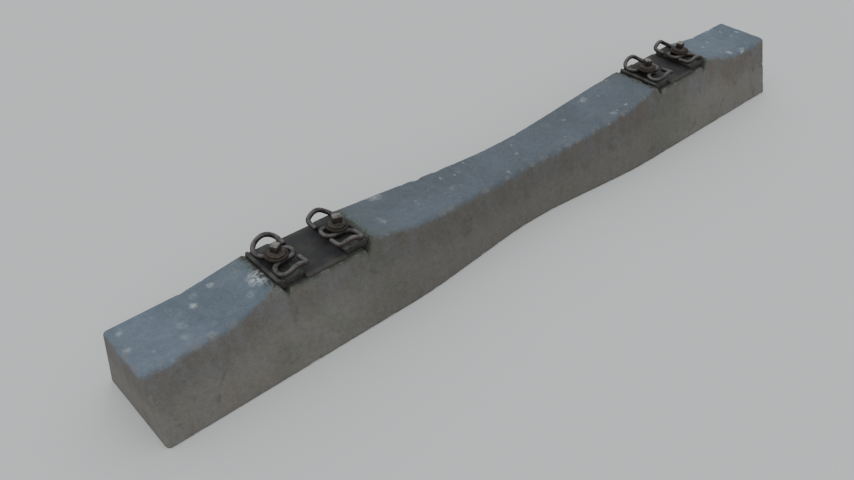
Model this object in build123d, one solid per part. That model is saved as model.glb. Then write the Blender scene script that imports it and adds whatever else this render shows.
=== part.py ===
from build123d import *
import math
import os

# A prestressed concrete railway sleeper with its spring fastenings fitted, in millimetres.
# The origin is under the middle of the sleeper. X runs along it, Y across it and Z is up.

# The concrete: length, widths at the bottom and how far the sides lean in for each mm of height
SLEEPER_LENGTH = 2550.0
END_WIDTH = 300.0
END_LEAN = 0.283
MIDDLE_WIDTH = 228.0
MIDDLE_LEAN = 0.2
WAIST_STRAIGHT = 6.5
WAIST_FLANK = 390.0
WAIST_RADIUS = 1500.0

# The concrete: heights along the top, from the ends to the middle
END_HEIGHT = 204.0
END_RAMP_LENGTH = 173.0
END_RAMP_RADIUS = 300.0
SEAT_HEIGHT = 214.0
MIDDLE_HEIGHT = 187.0
MIDDLE_FLAT = 6.0
RAMP_STRAIGHT = 35.0
EDGE_RADIUS = 12.0
SHOULDER_BLEND = 60.0
SHOULDER_RADIUS = 8.0

# The seats: distance between their centres, and their lean towards the middle
SEAT_SPACING = 1509.0
SEAT_SLOPE = 1 / 40
FOOT_WIDTH = 125.0
FOOT_GAP = 0.5

# The trough beyond each seat, that keys the guide plate, and the shoulder that backs it
TROUGH_MARGIN = 1.0
TROUGH_DEPTH = 11.0
TROUGH_INNER_RUN = 5.0
TROUGH_FLOOR = 5.5
TROUGH_OUTER_RUN = 17.0
SHOULDER_RISE = 17.0

# The plastic dowels cast into the concrete
DOWEL_DIAMETER = 38.0
DOWEL_RIM_DIAMETER = 40.0
DOWEL_RIM_HEIGHT = 6.0
DOWEL_LENGTH = 150.0
DOWEL_FLOOR = 6.0
DOWEL_GAP = 0.1

# The rubber pads that the seats carry
PAD_LENGTH = 170.0
PAD_THICKNESS = 7.0
PAD_CORNER_RADIUS = 4.0

# The guide plates between the pads and the shoulders
PLATE_LENGTH = 150.0
PLATE_TOP = 19.0
PLATE_LIP_HEIGHT = 16.0
PLATE_LIP_DEPTH = 5.0
PLATE_LIP_RAMP = 5.0
PLATE_REAR_HEIGHT = 5.0
PLATE_CORNER_RADIUS = 8.0
PLATE_HOLE_GAP = 2.0
HEEL_GAP = 1.0

# The spring clamps, each bent from one round bar
BAR_DIAMETER = 14.0
CLAMP_GAP = 0.3
GROOVE_GAP = 0.5
BOW_SPACING = 39.0
BOW_REACH = 46.0
BOW_RISE = 5.0
LOOP_REACH = 31.0
LOOP_WIDTH = 58.0
ARM_RISE = 28.0
ARM_RUN = 14.0
ARM_SPLAY = 2.0
ARM_RADIUS = 34.0
TOE_REACH = 44.0
TOE_SETBACK = 5.0
TOE_HEIGHT = 31.0
TOE_CORNER_RISE = 3.5
TOE_TIP = 32.0
TOE_RADIUS = 16.0
BEND_EASE = 0.5

# The screws and their washers
SCREW_OFFSET = 31.0
SCREW_DIAMETER = 24.0
SCREW_TIP = 4.0
SCREW_END_GAP = 8.0
THREAD_GAP = 0.2
WASHER_DIAMETER = 62.0
WASHER_THICKNESS = 6.0
WASHER_HOLE_GAP = 1.0
COLLAR_DIAMETER = 48.0
COLLAR_RIM = 3.0
COLLAR_HEIGHT = 9.0
HEAD_LENGTH = 27.0
HEAD_WIDTH = 23.0
HEAD_HEIGHT = 19.0
HEAD_TAPER = 2.0
HEAD_CORNER_RADIUS = 3.0
HEAD_TOP_RADIUS = 2.0

# How far each screw was turned when it was last tightened, in degrees
HEAD_TURNS = {"left_outer": 30.0, "left_inner": -18.0, "right_inner": 64.0, "right_outer": 12.0}

# Places worked out from the sizes above, in the frame of a seat: out from its centre, and up
SCREW_AXIS = FOOT_WIDTH / 2 + SCREW_OFFSET
PLATE_FRONT = FOOT_WIDTH / 2 + FOOT_GAP
TROUGH_START = SCREW_AXIS + DOWEL_RIM_DIAMETER / 2 + TROUGH_MARGIN
TROUGH_FLOOR_START = TROUGH_START + TROUGH_INNER_RUN
TROUGH_FLOOR_END = TROUGH_FLOOR_START + TROUGH_FLOOR
SHOULDER_EDGE = TROUGH_FLOOR_END + TROUGH_OUTER_RUN
BAR_RADIUS = BAR_DIAMETER / 2
BAR_HEIGHT = PLATE_TOP + BAR_RADIUS + CLAMP_GAP
LEG_SLOPE = BOW_RISE / (BOW_REACH + LOOP_REACH)
LEG_TOP = BAR_HEIGHT + BAR_RADIUS + LEG_SLOPE * (LOOP_REACH + WASHER_DIAMETER / 2)
WASHER_BOTTOM = LEG_TOP + CLAMP_GAP
COLLAR_BOTTOM = WASHER_BOTTOM + WASHER_THICKNESS
SEAT_LEAN = math.degrees(math.atan(SEAT_SLOPE))
SIDES = ("left", "right")
EDGES = ("outer", "inner")


def seat_place(side):
    """The frame of a seat: X points out to the near end of the sleeper, and Z stands square to the seat."""
    turn = Rot(0, 0, 180) if side == "left" else Rot(0, 0, 0)
    return turn * Pos(SEAT_SPACING / 2, 0, SEAT_HEIGHT) * Rot(0, -SEAT_LEAN, 0)


def screw_place(side, edge):
    """The frame of a screw: X points from the pad to the shoulder, and Z is the screw's axis."""
    turn = Rot(0, 0, 180) if edge == "inner" else Rot(0, 0, 0)
    return seat_place(side) * turn * Pos(SCREW_AXIS, 0, 0)


def seat_point(out, up):
    """A point of the right seat's frame, as X and Z of the sleeper."""
    point = (seat_place("right") * Pos(out, 0, up)).position
    return point.X, point.Z


def outline_face(points, radii, plane):
    """A face in a plane from its corner points, each with its own rounding."""
    return make_face(plane * FilletPolyline(points, radius=radii, close=True))


def waist_ends():
    """How far from the middle each flank of the waist starts and ends, with room for its blends."""
    flank_turn = math.atan((END_WIDTH - MIDDLE_WIDTH) / 2 / WAIST_FLANK)
    start = WAIST_STRAIGHT / 2 + WAIST_RADIUS * math.tan(flank_turn / 2)
    return start, start + WAIST_FLANK


def plan_face(height):
    """The sleeper's outline seen from above, at a height, as wide as the leaning sides make it there."""
    end = END_WIDTH / 2 - END_LEAN * height
    middle = MIDDLE_WIDTH / 2 - MIDDLE_LEAN * height
    flank_start, flank_end = waist_ends()
    half = [
        (flank_start, middle),
        (flank_end, end),
        (SLEEPER_LENGTH / 2, end),
    ]
    half_radii = [WAIST_RADIUS, WAIST_RADIUS, 0]
    far_right = half
    near_right = [(x, -y) for x, y in reversed(half)]
    near_left = [(-x, -y) for x, y in half]
    far_left = [(-x, y) for x, y in reversed(half)]
    points = far_right + near_right + near_left + far_left
    radii = (half_radii + half_radii[::-1]) * 2
    return outline_face(points, radii, Plane.XY.offset(height))


def middle_bend(shoulder):
    """Where the level middle and the ramp to a shoulder would meet, and the radius that rounds them."""
    run = shoulder[0] - MIDDLE_FLAT / 2
    rise = shoulder[1] - MIDDLE_HEIGHT
    reach = (run**2 + rise**2 - RAMP_STRAIGHT**2) / 2 / (run + RAMP_STRAIGHT)
    turn = math.atan(rise / (run - reach))
    return MIDDLE_FLAT / 2 + reach, reach / math.tan(turn / 2)


def side_face():
    """The sleeper's outline seen from the side, with the seats still filled up to their shoulders."""
    inner = seat_point(-SHOULDER_EDGE, SHOULDER_RISE)
    outer = seat_point(SHOULDER_EDGE, SHOULDER_RISE)
    bend, bend_radius = middle_bend(inner)
    half = [
        (bend, MIDDLE_HEIGHT),
        inner,
        outer,
        (outer[0] + END_RAMP_LENGTH, END_HEIGHT),
        (SLEEPER_LENGTH / 2, END_HEIGHT),
        (SLEEPER_LENGTH / 2, 0),
    ]
    half_radii = [bend_radius, SHOULDER_BLEND, SHOULDER_BLEND, END_RAMP_RADIUS, 0, 0]
    points = half + [(-x, z) for x, z in reversed(half)]
    return outline_face(points, half_radii + half_radii[::-1], Plane.XZ)


def seat_cutter():
    """What is taken out between the shoulders: the flat of the seat and a trough at each side."""
    half = [
        (TROUGH_START, 0),
        (TROUGH_FLOOR_START, -TROUGH_DEPTH),
        (TROUGH_FLOOR_END, -TROUGH_DEPTH),
        (SHOULDER_EDGE, SHOULDER_RISE),
        (SHOULDER_EDGE + TROUGH_OUTER_RUN, SHOULDER_RISE + TROUGH_DEPTH + SHOULDER_RISE),
    ]
    points = half + [(-x, z) for x, z in reversed(half)]
    face = make_face(Plane.XZ * Polyline(points, close=True))
    return extrude(face, END_WIDTH / 2, both=True)


def dowel_hole():
    """The space that the concrete leaves for a dowel."""
    hole = Cylinder(DOWEL_DIAMETER / 2 + DOWEL_GAP, DOWEL_LENGTH, align=(Align.CENTER, Align.CENTER, Align.MAX))
    rim = Cylinder(
        DOWEL_RIM_DIAMETER / 2 + DOWEL_GAP, DOWEL_RIM_HEIGHT, align=(Align.CENTER, Align.CENTER, Align.MAX)
    )
    return hole + rim


def outer_edges(blank):
    """The edges that the mould rounds: along both sides of the top, round the ends and up their corners."""
    lowest_top = min(MIDDLE_HEIGHT, END_HEIGHT) - EDGE_RADIUS
    end_face = SLEEPER_LENGTH / 2 - EDGE_RADIUS
    along = []
    ends = []
    for edge in blank.edges():
        place = edge.center()
        direction = edge.tangent_at(0.5)
        if abs(place.X) > end_face and (place.Z > lowest_top or abs(direction.Z) > abs(direction.Y)):
            ends.append(edge)
        elif place.Z > lowest_top and abs(direction.X) > abs(direction.Y):
            along.append(edge)
    return along + ends


def nose_edge(body, side, edge):
    """The straight edge across the sleeper, where a shoulder drops into its trough."""
    nose = (screw_place(side, edge) * Pos(SHOULDER_EDGE - SCREW_AXIS, 0, SHOULDER_RISE)).position
    return min(body.edges().filter_by(Axis.Y), key=lambda line: (line.center() - nose).length)


def sleeper_body():
    """The cast concrete: leaning sides, a waist, raised shoulders, two seats and four dowel holes."""
    highest = max(END_HEIGHT, MIDDLE_HEIGHT, seat_point(SHOULDER_EDGE, SHOULDER_RISE)[1])
    body = loft([plan_face(0), plan_face(highest + EDGE_RADIUS)], ruled=True)
    body = body & extrude(side_face(), END_WIDTH / 2, both=True)
    body = fillet(outer_edges(body), EDGE_RADIUS)
    for side in SIDES:
        body = body - seat_place(side) * seat_cutter()
    body = fillet([nose_edge(body, side, edge) for side in SIDES for edge in EDGES], SHOULDER_RADIUS)
    for side in SIDES:
        for edge in EDGES:
            body = body - screw_place(side, edge) * dowel_hole()
    return body


def dowel():
    """A plastic dowel with a rim at its mouth and a closed floor, in the frame of its screw."""
    sleeve = Cylinder(DOWEL_DIAMETER / 2, DOWEL_LENGTH, align=(Align.CENTER, Align.CENTER, Align.MAX))
    rim = Cylinder(DOWEL_RIM_DIAMETER / 2, DOWEL_RIM_HEIGHT, align=(Align.CENTER, Align.CENTER, Align.MAX))
    bore = Cylinder(
        SCREW_DIAMETER / 2 + THREAD_GAP,
        DOWEL_LENGTH - DOWEL_FLOOR,
        align=(Align.CENTER, Align.CENTER, Align.MAX),
    )
    return sleeve + rim - bore


def seat_pad():
    """A flat rubber pad as wide as the foot that it carries, in the frame of its seat."""
    pad = Box(FOOT_WIDTH, PAD_LENGTH, PAD_THICKNESS, align=(Align.CENTER, Align.CENTER, Align.MIN))
    return fillet(pad.edges().filter_by(Axis.Z), PAD_CORNER_RADIUS)


def heel_out(up):
    """How far from the seat's centre the outer slope of the trough lies, at a height."""
    share = (up + TROUGH_DEPTH) / (SHOULDER_RISE + TROUGH_DEPTH)
    return TROUGH_FLOOR_END + TROUGH_OUTER_RUN * share


def guide_plate():
    """A moulded plate that fills the room from the foot to the shoulder, with a heel in the trough."""
    groove_radius = BAR_RADIUS + GROOVE_GAP
    groove_out = SCREW_AXIS + LOOP_REACH
    rear_up = PLATE_TOP + PLATE_REAR_HEIGHT
    heel_bottom = -TROUGH_DEPTH + HEEL_GAP
    section = [
        (PLATE_FRONT, 0),
        (PLATE_FRONT, PLATE_LIP_HEIGHT),
        (PLATE_FRONT + PLATE_LIP_DEPTH, PLATE_LIP_HEIGHT),
        (PLATE_FRONT + PLATE_LIP_DEPTH + PLATE_LIP_RAMP, PLATE_TOP),
        (groove_out, PLATE_TOP),
        (groove_out, rear_up),
        (SHOULDER_EDGE, rear_up),
        (SHOULDER_EDGE, SHOULDER_RISE),
        (heel_out(heel_bottom), heel_bottom),
        (TROUGH_FLOOR_START + HEEL_GAP, heel_bottom),
        (TROUGH_START + HEEL_GAP, 0),
    ]
    face = make_face(Plane.XZ * Polyline(section, close=True))
    plate = extrude(face, PLATE_LENGTH / 2, both=True)
    groove = Pos(groove_out, 0, PLATE_TOP + groove_radius) * Rot(90, 0, 0) * Cylinder(groove_radius, PLATE_LENGTH)
    depth = SHOULDER_EDGE - PLATE_FRONT
    rounded = Pos((SHOULDER_EDGE + PLATE_FRONT) / 2, 0, 0) * RectangleRounded(depth, PLATE_LENGTH, PLATE_CORNER_RADIUS)
    hole = Cylinder(SCREW_DIAMETER / 2 + PLATE_HOLE_GAP, rear_up * 2)
    plate = (plate - groove) & extrude(rounded, rear_up, both=True)
    return Pos(-SCREW_AXIS, 0, 0) * plate - hole


def clamp_line():
    """The middle line of a clamp's bar, from one toe round both loops and the bow to the other toe."""
    bow = BOW_SPACING / 2
    loop = bow + LOOP_WIDTH
    arm_peak = LOOP_REACH - LOOP_WIDTH / 2 - ARM_RUN
    half = [
        (-BOW_REACH, bow, BAR_HEIGHT + BOW_RISE),
        (LOOP_REACH, bow, BAR_HEIGHT),
        (LOOP_REACH, loop, BAR_HEIGHT),
        (arm_peak, loop + ARM_SPLAY, BAR_HEIGHT + ARM_RISE),
        (-TOE_REACH, loop - TOE_SETBACK, TOE_HEIGHT + TOE_CORNER_RISE),
        (-TOE_REACH, TOE_TIP, TOE_HEIGHT),
    ]
    half_radii = [
        bow - BEND_EASE,
        LOOP_WIDTH / 2 - BEND_EASE,
        LOOP_WIDTH / 2 - BEND_EASE,
        ARM_RADIUS,
        TOE_RADIUS,
    ]
    points = [(x, -y, z) for x, y, z in reversed(half)] + half
    return FilletPolyline(points, radius=half_radii[::-1] + half_radii)


def tension_clamp():
    """A spring bar with a bow under the screw, two loops in the plate's groove and two toes."""
    line = clamp_line()
    section = Plane(origin=line @ 0, z_dir=line % 0) * Circle(BAR_RADIUS)
    return sweep(section, path=line)


def washer():
    """A flat steel washer that lies on the two legs of the bow."""
    ring = Circle(WASHER_DIAMETER / 2) - Circle(SCREW_DIAMETER / 2 + WASHER_HOLE_GAP)
    return Pos(0, 0, WASHER_BOTTOM) * extrude(ring, WASHER_THICKNESS)


def sleeper_screw(turn):
    """A long screw with a domed collar and an oblong head that narrows upwards."""
    tip = -DOWEL_LENGTH + DOWEL_FLOOR + SCREW_END_GAP
    shank_radius = SCREW_DIAMETER / 2
    rim = COLLAR_BOTTOM + COLLAR_RIM
    dome_top = COLLAR_BOTTOM + COLLAR_HEIGHT
    dome_radius = HEAD_WIDTH / 2
    half_section = [
        (0, dome_top),
        (dome_radius, dome_top),
        (COLLAR_DIAMETER / 2, rim),
        (COLLAR_DIAMETER / 2, COLLAR_BOTTOM),
        (shank_radius, COLLAR_BOTTOM),
        (shank_radius, tip + SCREW_TIP),
        (shank_radius - SCREW_TIP, tip),
        (0, tip),
    ]
    shank = revolve(make_face(Plane.XZ * Polyline(half_section, close=True)), Axis.Z)
    foot = Pos(0, 0, rim) * Rectangle(HEAD_LENGTH, HEAD_WIDTH)
    crown = Pos(0, 0, dome_top + HEAD_HEIGHT) * Rectangle(HEAD_LENGTH - HEAD_TAPER, HEAD_WIDTH - HEAD_TAPER)
    head = loft([foot, crown], ruled=True)
    upright = [edge for edge in head.edges() if abs(edge.tangent_at(0.5).Z) > 0.5]
    head = fillet(upright, HEAD_CORNER_RADIUS)
    head = fillet(head.faces().sort_by(Axis.Z)[-1].edges(), HEAD_TOP_RADIUS)
    return shank + Rot(0, 0, turn) * head


def write(name, solid):
    """Write one piece to its own file."""
    solid.label = name
    export_step(solid, f"parts/{name}.step")


os.makedirs("parts", exist_ok=True)
write("sleeper_body", sleeper_body())
for side in SIDES:
    write(f"seat_pad_{side}", seat_place(side) * seat_pad())
    for edge in EDGES:
        place = screw_place(side, edge)
        spot = f"{side}_{edge}"
        write(f"dowel_{spot}", place * dowel())
        write(f"guide_plate_{spot}", place * guide_plate())
        write(f"tension_clamp_{spot}", place * tension_clamp())
        write(f"washer_{spot}", place * washer())
        write(f"sleeper_screw_{spot}", place * sleeper_screw(HEAD_TURNS[spot]))
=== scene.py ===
import math
import random

import bmesh
import bpy
import numpy as np
from mathutils import Matrix, Vector


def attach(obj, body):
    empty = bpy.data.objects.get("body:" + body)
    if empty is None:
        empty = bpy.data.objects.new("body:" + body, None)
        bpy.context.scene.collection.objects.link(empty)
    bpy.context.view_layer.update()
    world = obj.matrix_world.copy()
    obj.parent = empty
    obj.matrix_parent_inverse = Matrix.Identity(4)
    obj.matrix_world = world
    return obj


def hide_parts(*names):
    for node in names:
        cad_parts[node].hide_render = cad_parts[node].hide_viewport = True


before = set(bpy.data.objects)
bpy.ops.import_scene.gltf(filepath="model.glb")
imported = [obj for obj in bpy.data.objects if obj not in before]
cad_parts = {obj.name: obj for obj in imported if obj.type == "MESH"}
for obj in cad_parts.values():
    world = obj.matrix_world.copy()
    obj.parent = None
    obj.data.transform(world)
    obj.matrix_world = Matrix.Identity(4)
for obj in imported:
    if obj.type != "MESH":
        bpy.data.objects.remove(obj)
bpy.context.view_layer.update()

# Sleeper body. One block of prestressed concrete, cast upside down in a steel mould, so its
# top and sides are smooth and its long edges rounded. Years outdoors left the top blue-grey
# with pale lichen spots, the sides brown with dust and rust, and the edges a little chipped.

MM = 0.001
SIGNS = (-1, 1)
LENGTH = 2550.0

# Half its width underneath, and how far each side leans in for each millimetre of height
END_HALF, END_LEAN = 150.0, 0.283
MIDDLE_HALF, MIDDLE_LEAN = 114.0, 0.2

# The waist's flanks, from the middle: where one starts and ends, and how far its bends reach
FLANK_START, FLANK_END, FLANK_BLEND = 72.3, 462.3, 69.1

# The top line seen from the side: its heights, and the arcs that join them
MIDDLE_HEIGHT, END_HEIGHT = 187.0, 204.0
MIDDLE_BEND, MIDDLE_RADIUS = 291.4, 4598.0
END_RAMP, END_RADIUS = 173.0, 300.0

# A seat and its troughs, out from the seat's centre and up from its face
SEAT_OUT, SEAT_UP = 754.5, 214.0
SEAT_LEAN = math.atan(1 / 40)
NOSE_OUT, NOSE_UP, NOSE_RADIUS = 142.0, 17.0, 8.0
TROUGH_OUT, TROUGH_IN, TROUGH_DEEP = 125.0, 119.5, 11.0
SEAT_HALF, CORNER_RADIUS = 114.5, 1.5

# The rounding of the long edges: outside the seats, across them, and underneath
TOP_RADIUS, SEAT_EDGE_RADIUS, FOOT_RADIUS = 12.0, 2.5, 3.0
LEAST_RADIUS = 0.4


def unit(vector):
    return vector / np.linalg.norm(vector)


def seat_point(out, up):
    """A point of the right seat, given out from its centre and up from it, as X and Z of the sleeper."""
    lean_x, lean_z = math.cos(SEAT_LEAN), math.sin(SEAT_LEAN)
    return SEAT_OUT + out * lean_x - up * lean_z, SEAT_UP + out * lean_z + up * lean_x


def bent_line(corners, radii, arc_steps):
    """The points of a line that turns at each inner corner in an arc, with that many steps in each arc."""
    corners = [np.array(corner, float) for corner in corners]
    points = [corners[0]]
    for before, corner, after, radius, steps in zip(corners, corners[1:], corners[2:], radii, arc_steps):
        back, ahead = unit(before - corner), unit(after - corner)
        turn = math.pi - math.acos(np.clip(back @ ahead, -1, 1))
        start = corner + back * radius * math.tan(turn / 2)
        centre = corner + unit(back + ahead) * radius / math.cos(turn / 2)
        for angle in np.linspace(0, turn, steps + 1):
            points.append(centre + (start - centre) * math.cos(angle) - back * radius * math.sin(angle))
    points.append(corners[-1])
    return np.array(points)


seat_half = [(SEAT_HALF, 0), (TROUGH_IN, -TROUGH_DEEP), (TROUGH_OUT, -TROUGH_DEEP), (NOSE_OUT, NOSE_UP)]
seat_inner = [seat_point(-out, up) for out, up in reversed(seat_half)]
seat_outer = [seat_point(out, up) for out, up in seat_half]
seat_start, seat_end = seat_inner[0][0], seat_outer[-1][0]
side_corners = [(0, MIDDLE_HEIGHT), (MIDDLE_BEND, MIDDLE_HEIGHT)] + seat_inner + seat_outer
side_corners += [(seat_end + END_RAMP, END_HEIGHT), (LENGTH / 2, END_HEIGHT)]
side_radii = [MIDDLE_RADIUS, NOSE_RADIUS] + [CORNER_RADIUS] * 6 + [NOSE_RADIUS, END_RADIUS]
side_line = bent_line(side_corners, side_radii, [60, 8] + [2] * 6 + [8, 8])

# How fine the mesh is: steps along the sleeper in millimetres, and steps round half an outline
STATION = 5.0
BOTTOM_STEPS, FOOT_STEPS, SIDE_STEPS, CORNER_STEPS, TOP_STEPS = 18, 2, 22, 6, 16
TOP_CROWDING = 1.4


def top_height(x):
    """How high the top line is, at a distance to either side of the middle."""
    return np.interp(abs(x), side_line[:, 0], side_line[:, 1])


def stations():
    """Places along the right half: every point of the side line, and enough between them."""
    places, along = [], side_line[:, 0]
    for x, next_x in zip(along, along[1:]):
        count = max(1, round((next_x - x) / STATION))
        places += [x + (next_x - x) * step / count for step in range(count)]
    end = LENGTH / 2 - TOP_RADIUS
    return [place for place in places if place < end - 1] + [end]


def flank_share(x):
    """0 in the waist and 1 beyond its flanks, straight along a flank and rounded at both its bends."""
    run = FLANK_END - FLANK_START
    share, blend = (abs(x) - FLANK_START) / run, FLANK_BLEND / run
    near = min(share, 1 - share)
    if near < blend:
        near = max((near + blend) / (2 * blend), 0) ** 2 * blend
    return near if share < 0.5 else 1 - near


def side_half(x, z):
    """Half the sleeper's width at a place and height."""
    middle = MIDDLE_HALF - MIDDLE_LEAN * z
    end = END_HALF - END_LEAN * z
    return middle + (end - middle) * flank_share(x)


def half_outline(x, inset):
    """The right half of the outline across the sleeper, from under its middle round to the top's."""
    height = top_height(x) - inset
    into_seat = min(abs(x) - seat_start, seat_end - abs(x)) / NOSE_UP
    radius = TOP_RADIUS + (SEAT_EDGE_RADIUS - TOP_RADIUS) * min(max(into_seat, 0), 1)
    radius = max(radius - inset, LEAST_RADIUS)
    foot, top = side_half(x, 0) - inset, side_half(x, height) - inset
    corners = [(0, 0), (foot, 0), (top, height), (0, height)]
    line = bent_line(corners, [FOOT_RADIUS, radius], [FOOT_STEPS, CORNER_STEPS])
    foot_end = 1 + FOOT_STEPS
    corner_end = foot_end + 1 + CORNER_STEPS
    bottom = np.linspace(line[0], line[1], BOTTOM_STEPS + 1)[:-1]
    side = np.linspace(line[foot_end], line[foot_end + 1], SIDE_STEPS + 1)[1:-1]
    share = np.linspace(0, 1, TOP_STEPS + 1)[1:, None] ** TOP_CROWDING
    top_run = line[corner_end] + (line[corner_end + 1] - line[corner_end]) * share
    return np.vstack([bottom, line[1 : foot_end + 1], side, line[foot_end + 1 : corner_end + 1], top_run])


def outline_at(x, inset=0.0):
    """The whole outline at a place along the sleeper, as points of its frame."""
    half = half_outline(x, inset)
    whole = np.vstack([half, half[-2:0:-1] * [-1, 1]])
    return np.column_stack([np.full(len(whole), x), whole])


def ring_faces(rows, around, closed=False):
    """The four-sided faces between rows of points, where each row is a ring of that many points."""
    faces = []
    for row in range(rows if closed else rows - 1):
        low, high = row * around, (row + 1) % rows * around
        for step in range(around):
            after = (step + 1) % around
            faces.append((low + step, low + after, high + after, high + step))
    return faces


right_places = stations()
places = [-x for x in reversed(right_places)] + right_places[1:]
rings = [outline_at(x) for x in places]

# Both ends draw in over a quarter arc, so that the edges round them are rounded as well
for degrees in range(15, 91, 15):
    angle = math.radians(degrees)
    inset, shift = TOP_RADIUS * (1 - math.cos(angle)), TOP_RADIUS * math.sin(angle)
    left, right = (outline_at(right_places[-1] * sign, inset) for sign in SIGNS)
    left[:, 0], right[:, 0] = -(right_places[-1] + shift), right_places[-1] + shift
    rings = [left] + rings + [right]

ring_size = len(rings[0])
body_points = np.vstack(rings)
body_faces = ring_faces(len(rings), ring_size)


def end_sides():
    """The outline's point numbers along the four sides of an end: bottom, top, left and right."""
    bottom_half = BOTTOM_STEPS + FOOT_STEPS // 2
    top_half = TOP_STEPS + CORNER_STEPS // 2
    right_top, left_top = ring_size // 2 - top_half, ring_size // 2 + top_half
    left_bottom = ring_size - bottom_half
    bottom = [(left_bottom + k) % ring_size for k in range(2 * bottom_half + 1)]
    top = [left_top - k for k in range(2 * top_half + 1)]
    left = [left_bottom - k for k in range(left_bottom - left_top + 1)]
    right = [bottom_half + k for k in range(right_top - bottom_half + 1)]
    return bottom, top, left, right


def inner_point(sides, i, j):
    """The point of an end in that column and row, spread evenly between the points of its four sides."""
    bottom, top, left, right = sides
    u, v = i / (len(bottom) - 1), j / (len(left) - 1)
    across = bottom[i] * (1 - v) + top[i] * v
    upward = left[j] * (1 - u) + right[j] * u
    corners = (bottom[0] * (1 - u) + bottom[-1] * u) * (1 - v)
    corners = corners + (top[0] * (1 - u) + top[-1] * u) * v
    return across + upward - corners


def end_patch(first, flip):
    """The new points and the faces that close one end, as a grid between its four sides."""
    bottom, top, left, right = end_sides()
    edge = body_points[first : first + ring_size]
    sides = [edge[side] for side in (bottom, top, left, right)]
    columns, rows = len(bottom), len(left)
    number, extra, faces = {}, [], []
    for j in range(rows):
        for i in range(columns):
            on_edge = {0: bottom[i], rows - 1: top[i]}.get(j)
            on_edge = {0: left[j], columns - 1: right[j]}.get(i, on_edge)
            if on_edge is None:
                number[i, j] = len(body_points) + len(extra)
                extra.append(inner_point(sides, i, j))
            else:
                number[i, j] = first + on_edge
    for j in range(rows - 1):
        for i in range(columns - 1):
            face = (number[i, j], number[i + 1, j], number[i + 1, j + 1], number[i, j + 1])
            faces.append(face[::-1] if flip else face)
    return np.array(extra), faces


for first, flip in ((0, True), ((len(rings) - 1) * ring_size, False)):
    extra, faces = end_patch(first, flip)
    body_points = np.vstack([body_points, extra])
    body_faces += faces

# Chips: small flakes that broke from the edges, each a shallow facet with a rough face.
# Each kind says how many there are, and where its seeds start.
chance = random.Random(7)
CHIP_SPAN = 1265.0
END_FACE = 1273.0
below_top = top_height(body_points[:, 0]) - body_points[:, 2]
worn = np.zeros(len(body_points))


def rough(points, size, seed):
    """A cheap smooth unevenness from -1 to 1, from waves in random directions."""
    source = np.random.default_rng(seed)
    total = np.zeros(len(points))
    for _ in range(12):
        direction = unit(source.normal(size=3))
        total += np.sin(points @ direction / size * math.tau + source.uniform(0, math.tau))
    return np.clip(total / 4, -1, 1)


def chip(centre, outward, reach, depth, seed):
    """Take a flake off the surface around a point of an edge, and note where the fresh face is."""
    outward = unit(np.array(outward, float))
    near = np.linalg.norm(body_points - centre, axis=1) < reach * 1.2
    if not near.any():
        return
    picked = body_points[near]
    distance = np.linalg.norm(picked - centre, axis=1) / reach
    distance = distance + 0.18 * rough(picked, reach * 0.7, seed)
    highest = (picked @ outward).max()
    above = picked @ outward - (highest - depth - 0.25 * depth * rough(picked, reach * 0.4, seed + 1))
    cut = np.clip(above, 0, None) * np.clip((1 - distance) * 4, 0, 1)
    body_points[near] = picked - outward * cut[:, None]
    worn[near] = np.maximum(worn[near], np.clip(cut / 0.6, 0, 1))


def top_edge_chip():
    x = chance.uniform(-CHIP_SPAN, CHIP_SPAN)
    side = chance.choice(SIGNS)
    large = chance.random() ** 3
    outward = (chance.uniform(-0.3, 0.3), side * chance.uniform(0.6, 1.2), chance.uniform(0.6, 1.2))
    centre = np.array([x, side * side_half(x, top_height(x)), top_height(x)])
    return centre, outward, 6 + 12 * large, 1.2 + 3.2 * large


def nose_chip():
    sign, side = chance.choice(SIGNS), chance.choice(SIGNS)
    out = chance.choice((-NOSE_OUT, NOSE_OUT))
    x, z = seat_point(out, NOSE_UP)
    y = chance.uniform(0.2, 1) * side_half(x, z) * side
    outward = (-sign * math.copysign(chance.uniform(0.5, 1), out), side * chance.uniform(0, 0.7), 1)
    return np.array([sign * x, y, z]), outward, chance.uniform(6, 15), chance.uniform(1.5, 4)


def end_chip():
    sign, side = chance.choice(SIGNS), chance.choice(SIGNS)
    place = chance.uniform(-1, 1)
    centre = np.array([sign * END_FACE, place * 95, END_HEIGHT - 2])
    outward = (sign, 0.3 * place, 1)
    if chance.random() < 0.4:
        z = chance.uniform(5, 190)
        centre = np.array([sign * END_FACE, side * side_half(END_FACE, z), z])
        outward = (sign, side, 0)
    return centre, outward, chance.uniform(6, 18), chance.uniform(1.5, 4.5)


def bottom_edge_chip():
    x = chance.uniform(-CHIP_SPAN, CHIP_SPAN)
    side = chance.choice(SIGNS)
    reach = 5 + 13 * chance.random() ** 2
    return np.array([x, side * side_half(x, 0), 0.0]), (0, side, -1), reach, reach * 0.12


CHIPS = [(top_edge_chip, 120, 100), (nose_chip, 36, 300), (end_chip, 26, 500), (bottom_edge_chip, 70, 700)]
for kind, count, seed in CHIPS:
    for number in range(count):
        chip(*kind(), seed + number)

# The cast faces wave a little: each wave's half depth, its length and its seed, in millimetres.
uneven = np.zeros(len(body_points))
for depth, size, seed in ((0.18, 170, 40), (0.12, 45, 41)):
    uneven += depth * (1 + rough(body_points, size, seed))
inward = ([0, 0, 100.0] - body_points) * [0.02, 1, 0.8]
inward /= np.linalg.norm(inward, axis=1)[:, None]
body_points = body_points + inward * uneven[:, None]

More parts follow.
